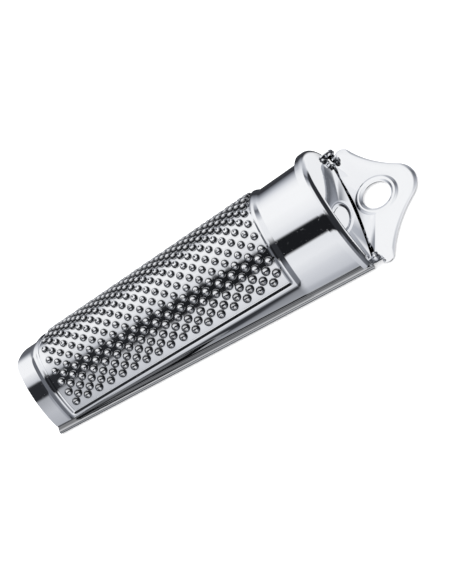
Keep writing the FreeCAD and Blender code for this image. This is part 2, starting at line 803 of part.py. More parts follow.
def ear_outline():
    reach = size("hinge_reach")
    radius = size("ear_r")
    low = size("hinge_rise") - radius
    high = size("hinge_rise") + radius
    corners = [Vector(-STOCK, 0, low), Vector(reach, 0, low), Vector(reach, 0, high)]
    corners.append(Vector(-STOCK, 0, high))
    tip = Vector(reach + radius, 0, size("hinge_rise"))
    outline = Part.Wire([
        Part.makeLine(corners[0], corners[1]),
        Part.Arc(corners[1], tip, corners[2]).toShape(),
        Part.makeLine(corners[2], corners[3]),
        Part.makeLine(corners[3], corners[0]),
    ])
    outline.Placement = LID_PLACE
    return outline


ears = []
for side, low_y in (("left", EAR_OUTER - STOCK), ("right", -EAR_OUTER)):
    ears.append(add_tab(f"ear_{side}", ear_outline(), size("pin_r"), HINGE_AT, STOCK, low_y))

lid = doc.addObject("Part::MultiFuse", "lid")
lid.Shapes = [lid_trimmed] + ears


# ---------------------------------------------------------------- hinge pins
# Short rivets, one through each ear and lug, with a domed head outside and a clenched one inside.
def add_pin(label, side):
    outer = EAR_OUTER
    lug_inner = LUG_OUTER - STOCK
    tail_top = lug_inner - size("pin_side_gap")
    tail_end = tail_top - size("pin_tail_height")
    head_rim = outer + size("pin_head_height") / 3
    head_end = outer + size("pin_head_height")
    head_r = size("pin_head_r")
    # the dome is a part of a sphere whose centre lies on the pin's axis
    dome_r = (head_r**2 + (head_end - head_rim) ** 2) / (2 * (head_end - head_rim))
    dome_half = math.asin(head_r / dome_r) / 2
    dome_y = head_end - dome_r + dome_r * math.cos(dome_half)
    head_mid = Vector(dome_r * math.sin(dome_half), dome_y, 0)
    points = [
        (0, tail_end), (size("pin_tail_r"), tail_end), (size("pin_tail_r"), tail_top),
        (size("pin_r"), tail_top), (size("pin_r"), outer), (head_r, outer), (head_r, head_rim),
    ]
    corners = [Vector(x, y, 0) for x, y in points]
    edges = [Part.makeLine(corners[i], corners[i + 1]) for i in range(len(corners) - 1)]
    crown = Vector(0, head_end, 0)
    edges.append(Part.Arc(corners[-1], head_mid, crown).toShape())
    edges.append(Part.makeLine(crown, corners[0]))
    section = doc.addObject("Part::Feature", f"{label}_section")
    section.Shape = Part.Face(Part.Wire(edges))
    pin = doc.addObject("Part::Revolution", label)
    pin.Source = section
    pin.Axis = Vector(0, 1, 0)
    pin.Angle = 360
    pin.Solid = True
    doc.recompute()
    turn = Rotation() if side > 0 else Rotation(Vector(0, 0, 1), 180)
    pin.Placement = Placement(HINGE_AT, turn)
    return pin


hinge_pin_left = add_pin("hinge_pin_left", 1)
hinge_pin_right = add_pin("hinge_pin_right", -1)


# ---------------------------------------------------------------- checks and export
doc.recompute()
pieces = [
    grater_shell, grating_insert, compartment_back, bulkhead,
    hanger, lid, hinge_pin_left, hinge_pin_right,
]
for item in doc.Objects:
    if "Invalid" in item.State or "Error" in item.State:
        raise RuntimeError(f"{item.Label} failed: {item.State}")
for piece in pieces:
    shape = piece.Shape
    if shape.isNull() or not shape.isValid() or len(shape.Solids) != 1:
        raise RuntimeError(f"{piece.Label} is not one valid solid: {len(shape.Solids)}")

os.makedirs("parts", exist_ok=True)
for piece in pieces:
    piece.Shape.exportStep(f"parts/{piece.Label}.step")
    box = piece.Shape.BoundBox
    print(f"{piece.Label}: {piece.Shape.Volume:.1f} mm3, X {box.XMin:.2f}..{box.XMax:.2f}, "
          f"Y {box.YMin:.2f}..{box.YMax:.2f}, Z {box.ZMin:.2f}..{box.ZMax:.2f}")
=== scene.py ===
"""Nutmeg grater in polished steel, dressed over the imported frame. Metres, in the frame's axes."""
import math

import bpy
import numpy as np
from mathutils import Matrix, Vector


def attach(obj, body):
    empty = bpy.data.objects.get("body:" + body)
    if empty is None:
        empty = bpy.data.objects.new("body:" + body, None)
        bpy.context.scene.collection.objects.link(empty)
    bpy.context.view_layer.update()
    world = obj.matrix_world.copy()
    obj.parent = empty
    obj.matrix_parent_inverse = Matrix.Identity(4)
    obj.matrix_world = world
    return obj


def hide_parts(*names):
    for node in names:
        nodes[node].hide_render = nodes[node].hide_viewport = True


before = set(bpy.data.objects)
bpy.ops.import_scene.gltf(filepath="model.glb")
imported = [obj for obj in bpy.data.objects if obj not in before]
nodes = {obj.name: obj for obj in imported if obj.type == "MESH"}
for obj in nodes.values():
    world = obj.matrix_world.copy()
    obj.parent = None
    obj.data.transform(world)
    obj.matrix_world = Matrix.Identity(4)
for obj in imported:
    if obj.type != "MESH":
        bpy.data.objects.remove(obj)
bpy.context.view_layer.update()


# ------------------------------------------------------------------ camera
# Three-quarter view from the near side and above, far enough for a mild perspective.
MM = 0.001
camera = bpy.data.objects.new("camera", bpy.data.cameras.new("camera"))
bpy.context.scene.collection.objects.link(camera)
bpy.context.scene.camera = camera
camera.location = Vector((95.908, -193.808, 254.642)) * MM
camera.rotation_euler = [math.radians(degrees) for degrees in (27.73225, 30.12194, -17.11513)]
camera.data.sensor_width = 36
camera.data.lens = 63.7816
camera.data.clip_start = 0.01
camera.data.clip_end = 10


# ------------------------------------------------------------------ studio
# A broad soft light overhead, a dark gap between it and the light card in front, and dark
# surroundings at the horizon, all drawn in the world by direction.
def join(tree, value, socket):
    """Set a socket from a number, a colour or another socket."""
    if isinstance(value, bpy.types.NodeSocket):
        tree.links.new(value, socket)
    else:
        socket.default_value = value


def math_node(tree, operation, *values):
    """One sum of numbers or sockets."""
    node = tree.nodes.new("ShaderNodeMath")
    node.operation = operation
    for socket, value in zip(node.inputs, values):
        join(tree, value, socket)
    return node.outputs[0]


def step(tree, value, low, high):
    """0 below one value, 1 above the other, smooth between them."""
    node = tree.nodes.new("ShaderNodeMapRange")
    node.interpolation_type = "SMOOTHSTEP"
    for name, number in (("Value", value), ("From Min", low), ("From Max", high)):
        join(tree, number, node.inputs[name])
    return node.outputs["Result"]


def mix(tree, share, first, second):
    """The first colour at a share of 0, the second at 1."""
    node = tree.nodes.new("ShaderNodeMix")
    node.data_type = "RGBA"
    factor, low, high = [socket for socket in node.inputs if socket.enabled]
    join(tree, share, factor)
    join(tree, first, low)
    join(tree, second, high)
    return next(socket for socket in node.outputs if socket.enabled)


def studio_grey(brightness):
    """Grey of the studio, cooler where it is dark."""
    cool = 0.06 * (1 - brightness)
    return brightness * (1 - cool), brightness, brightness * (1 + 2.5 * cool), 1


def ramp(tree, value, stops):
    """Greys round the grater's axis: (degrees from overhead towards the near side, brightness)."""
    node = tree.nodes.new("ShaderNodeValToRGB")
    tree.links.new(value, node.inputs["Fac"])
    elements = node.color_ramp.elements
    elements.remove(elements[-1])
    elements[0].position = 0
    elements[0].color = studio_grey(stops[0][1])
    for degrees, brightness in stops:
        elements.new(degrees / 360 + 0.5).color = studio_grey(brightness)
    return node.outputs["Color"]


world = bpy.data.worlds.new("studio")
bpy.context.scene.world = world
world.use_nodes = True
tree = world.node_tree
tree.nodes.clear()
where = tree.nodes.new("ShaderNodeTexCoord").outputs["Generated"]
axes = tree.nodes.new("ShaderNodeSeparateXYZ")
tree.links.new(where, axes.inputs[0])
dir_x, dir_y, dir_z = axes.outputs
round_axis = math_node(tree, "ARCTAN2", math_node(tree, "MULTIPLY", dir_y, -1.0), dir_z)
share = math_node(tree, "MULTIPLY_ADD", round_axis, 0.5 / math.pi, 0.5)
middle = ramp(tree, share, [
    (-180, 0.08), (-106, 0.04), (-98, 0.25), (-90, 0.52), (-80, 0.74), (-68, 0.88), (-55, 0.95),
    (-38, 1.0), (5, 1.0), (22, 0.92), (33, 0.78), (35.5, 0.012), (57, 0.012), (59.5, 0.85),
    (75, 0.88), (95, 0.70), (115, 0.58), (132, 0.42), (141, 0.08), (160, 0.05), (180, 0.08),
])
right_side = ramp(tree, share, [
    (-180, 0.85), (-104, 0.95), (-92, 0.60), (-75, 0.48), (-55, 0.36), (-46, 0.14), (-38, 0.22),
    (-25, 0.50), (-5, 0.92), (26, 0.88), (36, 0.03), (60, 0.03), (72, 0.22), (110, 0.16),
    (140, 0.06), (180, 0.05),
])
left_side = ramp(tree, share, [
    (-180, 0.10), (-98, 0.25), (-60, 0.95), (20, 0.98), (35, 0.60), (37, 0.03), (57, 0.03),
    (60, 0.26), (80, 0.42), (100, 0.34), (130, 0.12), (180, 0.05),
])
grey = mix(tree, step(tree, dir_x, low=0.1, high=0.3), middle, right_side)
above_floor = step(tree, dir_z, low=-0.35, high=-0.2)
far_right = math_node(tree, "MULTIPLY", step(tree, dir_x, low=0.6, high=0.75), above_floor)
grey = mix(tree, far_right, grey, studio_grey(0.03))
to_left = math_node(tree, "MULTIPLY", dir_x, -1.0)
grey = mix(tree, step(tree, to_left, low=0.36, high=0.64), grey, left_side)
grey = mix(tree, step(tree, to_left, low=0.80, high=0.88), grey, studio_grey(0.15))
# the camera itself sees plain white behind the floor
ray = tree.nodes.new("ShaderNodeLightPath")
grey = mix(tree, ray.outputs["Is Camera Ray"], grey, (1, 1, 1, 1))
background = tree.nodes.new("ShaderNodeBackground")
tree.links.new(grey, background.inputs["Color"])
output = tree.nodes.new("ShaderNodeOutputWorld")
tree.links.new(background.outputs[0], output.inputs["Surface"])

lamp = bpy.data.objects.new("soft_lamp", bpy.data.lights.new("soft_lamp", "AREA"))
bpy.context.scene.collection.objects.link(lamp)
lamp.location = (-0.1, -0.1, 0.8)
lamp.data.size = 0.8
lamp.data.energy = 4
lamp.visible_glossy = False


# ------------------------------------------------------------------ floor
# Pale paper floor, a hair under the grater. It stays out of the metal's reflections, which show
# the studio instead, and a faint glow towards the camera keeps the paper white.
def shader_tree(name):
    """New material with an empty node tree, and its output."""
    material = bpy.data.materials.new(name)
    material.use_nodes = True
    material.node_tree.nodes.clear()
    return material, material.node_tree, material.node_tree.nodes.new("ShaderNodeOutputMaterial")


bpy.ops.mesh.primitive_plane_add(size=1.6, location=(0, 0, -0.4 * MM))
floor = bpy.context.object
floor.name = "floor"
material, tree, output = shader_tree("floor_paper")
diffuse = tree.nodes.new("ShaderNodeBsdfDiffuse")
speckle = tree.nodes.new("ShaderNodeTexNoise")
speckle.inputs["Scale"].default_value = 60
paper = mix(tree, speckle.outputs["Fac"], (0.86, 0.86, 0.86, 1), (0.9, 0.9, 0.9, 1))
tree.links.new(paper, diffuse.inputs["Color"])
glow = tree.nodes.new("ShaderNodeEmission")
ray = tree.nodes.new("ShaderNodeLightPath")
seen = math_node(tree, "MULTIPLY", ray.outputs["Is Camera Ray"], 0.45)
tree.links.new(seen, glow.inputs["Strength"])
both = tree.nodes.new("ShaderNodeAddShader")
tree.links.new(diffuse.outputs[0], both.inputs[0])
tree.links.new(glow.outputs[0], both.inputs[1])
tree.links.new(both.outputs[0], output.inputs["Surface"])
floor.data.materials.append(material)
floor.visible_glossy = False


# ------------------------------------------------------------------ grater shell
# One sheet of 0.5 mm stainless steel, drawn into a tapered half round with a raised field round
# the grating's window, folded out into flanges and hemmed along both edges, then polished.
def polishing_group():
    """Polished sheet: long fine lines, cloudy wiping marks, a few tiny specks, and painted shade
    and painted reflection, dark where the mesh's painted_shade attribute carries it."""
    group = bpy.data.node_groups.new("polished_sheet", "ShaderNodeTree")
    for name in ("Roughness", "Smear", "Fineness"):
        group.interface.new_socket(name, in_out="INPUT", socket_type="NodeSocketFloat")
    group.interface.new_socket("Steel", in_out="INPUT", socket_type="NodeSocketColor")
    group.interface.new_socket("Color", in_out="OUTPUT", socket_type="NodeSocketColor")
    group.interface.new_socket("Roughness", in_out="OUTPUT", socket_type="NodeSocketFloat")
    group.interface.new_socket("Height", in_out="OUTPUT", socket_type="NodeSocketFloat")
    given = group.nodes.new("NodeGroupInput")
    result = group.nodes.new("NodeGroupOutput")
    place = group.nodes.new("ShaderNodeTexCoord").outputs["Object"]
    stretch = group.nodes.new("ShaderNodeMapping")
    stretch.inputs["Scale"].default_value = (0.03, 1, 1)
    group.links.new(place, stretch.inputs["Vector"])

    def noise(vector, scale, detail):
        node = group.nodes.new("ShaderNodeTexNoise")
        node.inputs["Detail"].default_value = detail
        join(group, vector, node.inputs["Vector"])
        join(group, scale, node.inputs["Scale"])
        return node.outputs["Fac"]

    lines = noise(stretch.outputs[0], given.outputs["Fineness"], detail=3)
    cloud = noise(place, scale=90.0, detail=4)
    specks = step(group, noise(place, scale=1400.0, detail=0), low=0.74, high=0.80)
    wiped = math_node(group, "MULTIPLY_ADD", lines, 0.4, math_node(group, "MULTIPLY", cloud, 0.6))
    wiped = math_node(group, "SUBTRACT", wiped, 0.5)
    spread = math_node(group, "MULTIPLY", wiped, given.outputs["Smear"])
    rough = math_node(group, "ADD", given.outputs["Roughness"], spread)
    rough = math_node(group, "MULTIPLY_ADD", specks, 0.12, rough)
    dull = mix(group, 0.06, given.outputs["Steel"], (0.3, 0.3, 0.32, 1))
    bright = mix(group, cloud, dull, given.outputs["Steel"])
    # painted shade and painted reflection: the colour is mixed towards near black by the
    # painted_shade attribute
    painted_shade = group.nodes.new("ShaderNodeAttribute")
    painted_shade.attribute_name = "painted_shade"
    shaded_colour = mix(group, painted_shade.outputs["Fac"], bright, (0.03, 0.031, 0.035, 1))
    group.links.new(shaded_colour, result.inputs["Color"])
    group.links.new(rough, result.inputs["Roughness"])
    group.links.new(lines, result.inputs["Height"])
    return group


polished_sheet = polishing_group()


def steel(name, color, rough, smear, scratch, fineness=2500.0):
    """Steel whose finish comes from the polishing group."""
    material, tree, output = shader_tree(name)
    bsdf = tree.nodes.new("ShaderNodeBsdfPrincipled")
    bsdf.inputs["Metallic"].default_value = 1.0
    finish = tree.nodes.new("ShaderNodeGroup")
    finish.node_tree = polished_sheet
    for label, value in (("Steel", color + (1,)), ("Roughness", rough), ("Smear", smear),
                         ("Fineness", fineness)):
        finish.inputs[label].default_value = value
    tree.links.new(finish.outputs["Color"], bsdf.inputs["Base Color"])
    tree.links.new(finish.outputs["Roughness"], bsdf.inputs["Roughness"])
    bump = tree.nodes.new("ShaderNodeBump")
    bump.inputs["Strength"].default_value = scratch
    bump.inputs["Distance"].default_value = 0.00002
    tree.links.new(finish.outputs["Height"], bump.inputs["Height"])
    tree.links.new(bump.outputs[0], bsdf.inputs["Normal"])
    tree.links.new(bsdf.outputs[0], output.inputs["Surface"])
    return material


LENGTH = 118.3        # body, from the narrow end to the mouth
MIDDLE = 70.6         # origin of the frame, from the narrow end
SHEET = 0.5
# half-round section at the narrow end and at the mouth
HALF_WIDTH = (17.7, 21.7)
HEIGHT = (18.5, 24.2)
CROWN_R = (5.9, 10.8)
FLANK_R = (31.3, 27.5)
WINDOW_HALF = (23.3, 24.6)  # half width of the window along the curve
FIELD_LIFT = 0.8      # raised field over the body's skin
FIELD = (5.7, 98.1)   # feet of the bevels at its two ends
BEVEL = 2.3           # length of a bevel
WINDOW = (9.4, 94.4)
RIM_DROP = 0.48       # how far the sheet is turned down round the window
RIM_REACH = 1.5
RIDGE = 1.9           # from the window's long edge to the top of the side wall
WALL_OUT = 0.18       # side wall outside the ridge
WALL_IN = 0.22        # its foot, drawn in over the last few millimetres
WALL_FOOT = 2.0       # height at which the side wall bends out into the flange
FLANGE_TOP = 1.5
BEND = 0.5
HEM_OUT = 0.65        # centre line of the hem's round edge, outside the body's half width
LIP = 1.4             # flat of the hem's folded edge
MOUTH_LEAN = math.radians(8.0)
# rows of the mesh: crown to window, over the frame, down the wall, round the hem
WINDOW_ROWS = 14
FRAME_STEPS = (0.0, 0.19, 0.38, 0.56, 0.75, 0.94, 1.12, 1.31, 1.5, 1.7)
WALL_ROWS = 18
HEM_ROWS = 10


def taper(ends, distance):
    """A size that changes evenly from the narrow end to the mouth."""
    return ends[0] + (ends[1] - ends[0]) * distance / LENGTH


class Arch:
    """The body's section: a crown arc that runs tangent into two flatter flank arcs."""

    def __init__(self, distance):
        half, height, self.crown, self.flank = (
            taper(ends, distance) for ends in (HALF_WIDTH, HEIGHT, CROWN_R, FLANK_R)
        )
        self.rise, spread = height - self.crown, self.flank - self.crown
        reach = math.hypot(half, self.rise)
        cosine = (self.flank**2 - spread**2 - reach**2) / (2 * spread * reach)
        self.turn = math.acos(cosine) - math.atan2(self.rise, half)
        self.side = -spread * math.cos(self.turn)
        self.drop = self.rise - spread * math.sin(self.turn)

    def angle(self, along):
        """Angle above the horizontal, at a distance from the crown along the raised field."""
        crown_length = (self.crown + FIELD_LIFT) * (math.pi / 2 - self.turn)
        if along <= crown_length:
            return math.pi / 2 - along / (self.crown + FIELD_LIFT)
        return self.turn - (along - crown_length) / (self.flank + FIELD_LIFT)

    def point(self, angle, lift=0.0):
        """(y, z) at an angle, lifted off the skin."""
        c, s = math.cos(angle), math.sin(angle)
        if angle >= self.turn:
            return (self.crown + lift) * c, self.rise + (self.crown + lift) * s
        return self.side + (self.flank + lift) * c, self.drop + (self.flank + lift) * s

    def foot(self, height):
        """Angle of the flank at a height."""
        return math.asin((height - self.drop) / self.flank)


def smooth(value):
    """0 up to 0, 1 from 1 on, and a soft rise between them."""
    value = min(max(value, 0.0), 1.0)
    return value * value * (3 - 2 * value)


def raised(distance):
    """Share of the field's lift, with softly rounded bevels at its two ends."""
    return smooth((distance - FIELD[0]) / BEVEL) * smooth((FIELD[1] - distance) / BEVEL)


def section(distance):
    """(y, z) from the crown down to the hem's lip, on the sheet's outer skin."""
    arch = Arch(distance)
    half = taper(WINDOW_HALF, distance)
    field = raised(distance)
    outside = max(WINDOW[0] - distance, distance - WINDOW[1], 0.0)

    def rim(along):
        """How far the sheet is turned down towards the window."""
        away = math.hypot(max(along - half, 0.0), outside) / RIM_REACH if field > 0.9 else 1.0
        return RIM_DROP * (1 + math.cos(math.pi * min(away, 1.0))) / 2

    places = [half * k / WINDOW_ROWS for k in range(WINDOW_ROWS)]
    places += [half + aside for aside in FRAME_STEPS]
    points = [arch.point(arch.angle(at), FIELD_LIFT * field - rim(at)) for at in places]

    # the side wall stands a little outside the ridge and runs softly into the body's skin
    ridge_y, ridge_z = arch.point(arch.angle(half + RIDGE), FIELD_LIFT * field)
    for k in range(WALL_ROWS):
        z = ridge_z - (ridge_z - WALL_FOOT) * (k / WALL_ROWS) ** 1.2
        skin = arch.point(arch.foot(z))[0]
        wall_y = ridge_y + WALL_OUT * field
        y = (skin + wall_y) / 2 + math.hypot((wall_y - skin) / 2, 0.15 * field)
        y -= (y - ridge_y) * (1 - smooth(k / 3)) if field > 0 else 0.0
        points.append((y - WALL_IN * smooth((5.5 - z) / 3.5), z))

    # bend into the flange, then the hem: its round edge and its folded lip
    root_y = arch.point(arch.foot(WALL_FOOT))[0] - WALL_IN
    hem = taper(HALF_WIDTH, distance) + HEM_OUT
    hem_r = FLANGE_TOP / 2
    for a in (0, 0.5, 1.05, math.pi / 2):
        points.append((root_y + BEND * (1 - math.cos(a)), WALL_FOOT - BEND * math.sin(a)))
    points.append((hem - 0.4, FLANGE_TOP))
    for a in (math.pi * k / HEM_ROWS for k in range(HEM_ROWS + 1)):
        points.append((hem + hem_r * math.sin(a), hem_r + hem_r * math.cos(a)))
    points.append((hem - LIP, 0.0))
    return points


def painted_shade_at(column, row):
    """Share of painted shade and dark painted reflection: in the fold over the hem, on the hem, and
    under the raised frame.
    """
    wall = WINDOW_ROWS + len(FRAME_STEPS)
    hem = across - HEM_ROWS - 1
    if row >= hem:
        return 0.45 if row < hem + HEM_ROWS / 2 else 0.7
    if row >= wall + WALL_ROWS:
        return 0.80
    if row <= wall + 1:
        return 0.0
    return raised(stations[column]) * (0.72 - 0.50 * (row - wall) / WALL_ROWS)


# distances from the narrow end at which the section is set, close together at the bevels
stations = [0, 1, 2.5, 4, 5, 5.7, 6.1, 6.5, 6.9, 7.3, 7.7, 8.0, 8.2, 8.4, 8.6, 8.8, 9.0, 9.2]
stations += [WINDOW[0], 9.7, 10.4, 12] + [14 + 4 * k for k in range(20)]
stations += [92, 93.4, 94.1, WINDOW[1]]
stations += [94.6, 94.8, 95.0, 95.2, 95.4, 95.6, 95.9, 96.2, 96.6, 97.0, 97.4, 97.8, FIELD[1]]
stations += [98.8, 100, 102, 104.5, 107, 109.5, 112, 114, 116, 117.4, LENGTH]
half_sections = [section(distance) for distance in stations]
across = len(half_sections[0]) - 1
steps = len(stations) - 1
bpy.ops.object.select_all(action="DESELECT")
bpy.ops.mesh.primitive_grid_add(x_subdivisions=steps, y_subdivisions=2 * across, size=2)
shell = bpy.context.object
shell.name = "shell"
# painted shade and painted reflection, carried per vertex into the steel's colour
painted_shade = shell.data.attributes.new("painted_shade", "FLOAT", "POINT").data
cut = []
for vertex in shell.data.vertices:
    column = round((vertex.co.x + 1) / 2 * steps)
    row = round(vertex.co.y * across)
    y, z = half_sections[column][abs(row)]
    x = stations[column]
    if x > FIELD[1]:
        x -= z * math.tan(MOUTH_LEAN) * (x - FIELD[1]) / (LENGTH - FIELD[1])
    vertex.co = Vector((x - MIDDLE, math.copysign(y, row) if row else 0.0, z)) * MM
    painted_shade[vertex.index].value = painted_shade_at(column, abs(row))
    if WINDOW[0] < stations[column] < WINDOW[1] and abs(row) < WINDOW_ROWS:
        cut.append(vertex.index)


def edit_mesh(action="SELECT"):
    """Edit the active piece, with all of its mesh selected or none of it."""
    bpy.ops.object.mode_set(mode="EDIT")
    bpy.ops.mesh.select_all(action=action)


edit_mesh("DESELECT")
bpy.ops.object.mode_set(mode="OBJECT")
for index in cut:
    shell.data.vertices[index].select = True
bpy.ops.object.mode_set(mode="EDIT")
bpy.ops.mesh.select_mode(type="VERT")
bpy.ops.mesh.delete(type="VERT")
bpy.ops.mesh.select_all(action="SELECT")
bpy.ops.mesh.normals_make_consistent(inside=False)
bpy.ops.object.mode_set(mode="OBJECT")


def finish_with(piece, kind, **settings):
    """Add a modifier to a piece and apply it."""
    bpy.context.view_layer.objects.active = piece
    modifier = piece.modifiers.new(kind.lower(), kind)
    for name, value in settings.items():
        setattr(modifier, name, value)
    bpy.ops.object.modifier_apply(modifier=modifier.name)


def dress(piece, material):
    """Give a piece one material in place of what it has."""
    piece.data.materials.clear()
    piece.data.materials.append(material)


finish_with(shell, "SOLIDIFY", thickness=SHEET * MM, offset=-1)
bpy.ops.object.shade_smooth_by_angle(angle=math.radians(40))
dress(shell, steel("shell_steel", (0.92, 0.93, 0.95), rough=0.045, smear=0.03, scratch=0.012))
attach(shell, "grater")
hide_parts("grater_shell")


# ------------------------------------------------------------------ grating
# The curved insert of 0.4 mm sheet, held behind the window. Each tooth is punched from below into
# a round dome that tears open at its top. Every second row is set half a pitch along.
PITCH = (4.888, 2.13)     # along a row, and from row to row, in the flat pattern
HALF_ROWS = 10            # rows at either side of the crown's own
ROW_SPACING = (2.06, 2.23)  # from row to row on the curved insert, at the narrow end and the mouth
TEETH = 17                # in a row
FIRST_TOOTH = 12.3
INSERT = 0.40             # its sheet
LAP = 1.2                 # insert under the frame, all round
SEAT = 0.18               # insert's upper face over the body's skin
SEAM = 1.83               # half length of the tile round one tooth, along the row
FOOT = 1.50
FLAT = 1.60               # sheet round the dome's foot
# the dome from its foot to its torn rim, then down the hollow: radius, height, share of painted
# shade (full in the hollow)
RINGS = ((1.47, 0.30, 0.93), (1.33, 0.66, 0.88), (1.08, 0.92, 0.45), (0.74, 1.10, 0.0),
         (0.38, 1.20, 0.0), (0.27, 1.06, 1.0), (0.70, 0.36, 1.0), (1.20, -INSERT, 1.0))
bpy.ops.mesh.primitive_circle_add(vertices=12, radius=FOOT)
tile = bpy.context.object
tile.name = "tooth_tile"
edit_mesh()
reach, level = FOOT, 0.0
for radius, height, _ in RINGS + ((FLAT, -INSERT, 1.0),):
    ratio = radius / reach
    bpy.ops.mesh.extrude_region_move(TRANSFORM_OT_translate={"value": (0, 0, height - level)})
    bpy.ops.transform.resize(value=(ratio, ratio, 1), center_override=(0, 0, height))
    reach, level = radius, height
edit_mesh("DESELECT")
bpy.ops.object.mode_set(mode="OBJECT")
for vertex in tile.data.vertices:
    vertex.select = abs(vertex.co.xy.length - FOOT) < 0.01 and abs(vertex.co.z) < 0.01
for edge in tile.data.edges:
    edge.select = all(tile.data.vertices[i].select for i in edge.vertices)
bpy.ops.object.mode_set(mode="EDIT")
bpy.ops.mesh.extrude_region_move(TRANSFORM_OT_translate={"value": (0, 0, 0)})
bpy.ops.transform.resize(value=(FLAT / FOOT, FLAT / FOOT, 1), center_override=(0, 0, 0))
bpy.ops.object.mode_set(mode="OBJECT")


def seam_point(spot):
    """Corner or middle of a side of the six-sided tile, in one of twelve directions."""
    k = round(math.degrees(math.atan2(spot.y, spot.x) % (2 * math.pi)) / 30) % 12
    shoulder = PITCH[0] / 2 - SEAM
    quarter = ((SEAM, 0), (PITCH[0] / 4, PITCH[1] / 2), (shoulder, PITCH[1]), (0, PITCH[1]))
    x, y = quarter[(k, 6 - k, k - 6, 12 - k)[k // 3]]
    return x * (1 if k <= 3 or k >= 9 else -1), y * (1 if k <= 6 else -1)


# painted shade and painted reflection per ring: dark round the dome's lower walls, none on its top,
# full in the torn hollow, a little at the foot
ring_shade = {(round(radius, 2), round(height, 2)): share for radius, height, share in RINGS}
tile.data.attributes.new("painted_shade", "FLOAT", "POINT")
rims, dome, dome_shades = [], [], []
for vertex in tile.data.vertices:
    x, y, z = vertex.co
    radius = max(vertex.co.xy.length, 0.01)
    share = 0.15 if abs(radius - FOOT) < 0.01 else ring_shade.get((round(radius, 2), round(z, 2)), 0.0)
    # on the outer rows the dome's lower side is painted a soft shade, darkest above its foot
    lower_side = min(max(-1.4 * y - 0.8 * x, 0.0) / radius, 1.0) if z > 0.05 else 0.0
    soft = 0.45 if z < 0.5 else 0.70
    dome_shades.append((share, lower_side * (soft - share) if share < 1 else 0.0))
    if radius < 1.55:
        dome.append(vertex.index)
    if abs(radius - FLAT) < 0.01:
        vertex.co.xy = seam_point(vertex.co)
    if z > 1.0 and radius < 0.5:
        rims.append(vertex.index)

# plain tile for the sheet beyond the teeth
bpy.ops.object.select_all(action="DESELECT")
bpy.ops.mesh.primitive_circle_add(vertices=12, radius=FLAT, fill_type="TRIFAN")
blank = bpy.context.object
for vertex in blank.data.vertices:
    if vertex.co.xy.length > 1:
        vertex.co.xy = seam_point(vertex.co)
edit_mesh()
bpy.ops.mesh.duplicate_move(TRANSFORM_OT_translate={"value": (0, 0, -INSERT)})
bpy.ops.mesh.flip_normals()
bpy.ops.object.mode_set(mode="OBJECT")

rng = np.random.default_rng(7)
bpy.ops.object.select_all(action="DESELECT")
for row in range(-HALF_ROWS - 2, HALF_ROWS + 3):
    for column in range(-1, TEETH + 1):
        toothed = abs(row) <= HALF_ROWS and 0 <= column < TEETH
        one = (tile if toothed else blank).copy()
        one.data = one.data.copy()
        stagger = 0.5 * ((row + HALF_ROWS) % 2)
        place = Vector((FIRST_TOOTH + (column + stagger) * PITCH[0], row * PITCH[1], 0))
        if toothed:
            # the crown's rows are punched smaller, and each mouth is torn a little differently
            outer = smooth((abs(row) - 3.5) / 4)
            # painted shade on each dome, with the lower side darkened on the outer rows
            painted_shade = one.data.attributes["painted_shade"].data
            for index, (share, lower_side) in enumerate(dome_shades):
                painted_shade[index].value = share + lower_side * outer
            for index in dome:
                one.data.vertices[index].co.xy *= 0.82 + 0.16 * outer
            lean = rng.uniform(-0.06, 0.06, 2) + (-0.05, 0.14 - 0.30 * outer)
            for index in rims:
                vertex = one.data.vertices[index]
                vertex.co.xy *= 1 + rng.uniform(-0.25, 0.25)
                vertex.co.xy += Vector(lean)
                vertex.co.z += rng.uniform(-0.08, 0.04)
            # far rows are mirrored, rim lean and painted shade with them, so the shaded side faces
            # down their own flank
            if row > 0:
                for vertex in one.data.vertices:
                    vertex.co.y *= -1
        for vertex in one.data.vertices:
            vertex.co += place
        bpy.context.scene.collection.objects.link(one)
        one.select_set(True)
grating = one
bpy.context.view_layer.objects.active = grating
bpy.ops.object.join()
bpy.data.objects.remove(tile)
bpy.data.objects.remove(blank)
grating.name = "grating"
edit_mesh()
bpy.ops.mesh.remove_doubles(threshold=0.002)
bpy.ops.mesh.normals_make_consistent(inside=False)


def edge_row(distance):
    """Long edge of the insert, in the flat pattern."""
    return (taper(WINDOW_HALF, distance) + LAP) / taper(ROW_SPACING, distance) * PITCH[1]


low_end, wide_end = WINDOW[0] - LAP, WINDOW[1] + LAP
low_side, wide_side = edge_row(low_end), edge_row(wide_end)
slope = (wide_side - low_side) / (wide_end - low_end)
# the flat pattern is trimmed to the insert's edges, closed round them and wrapped on the body
for spot, outward in (((low_end, 0, 0), (-1, 0, 0)), ((wide_end, 0, 0), (1, 0, 0)),
                      ((low_end, low_side, 0), (-slope, 1, 0)),
                      ((low_end, -low_side, 0), (-slope, -1, 0))):
    bpy.ops.mesh.select_all(action="SELECT")
    bpy.ops.mesh.bisect(plane_co=spot, plane_no=outward, clear_outer=True)
bpy.ops.mesh.select_all(action="DESELECT")
bpy.ops.mesh.select_non_manifold(extend=False, use_wire=False, use_boundary=True,
                                 use_multi_face=False)
bpy.ops.mesh.bridge_edge_loops()
bpy.ops.object.mode_set(mode="OBJECT")
for vertex in grating.data.vertices:
    distance, flat_across, height = vertex.co
    along = flat_across / PITCH[1] * taper(ROW_SPACING, distance)
    arch = Arch(distance)
    y, z = arch.point(arch.angle(abs(along)), SEAT + height)
    vertex.co = Vector((distance - MIDDLE, math.copysign(y, along), z)) * MM
bpy.ops.object.shade_smooth_by_angle(angle=math.radians(38))
dress(grating, steel("tooth_steel", (0.90, 0.91, 0.93), rough=0.06, smear=0.04, scratch=0.015))
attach(grating, "grater")
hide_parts("grating_insert")


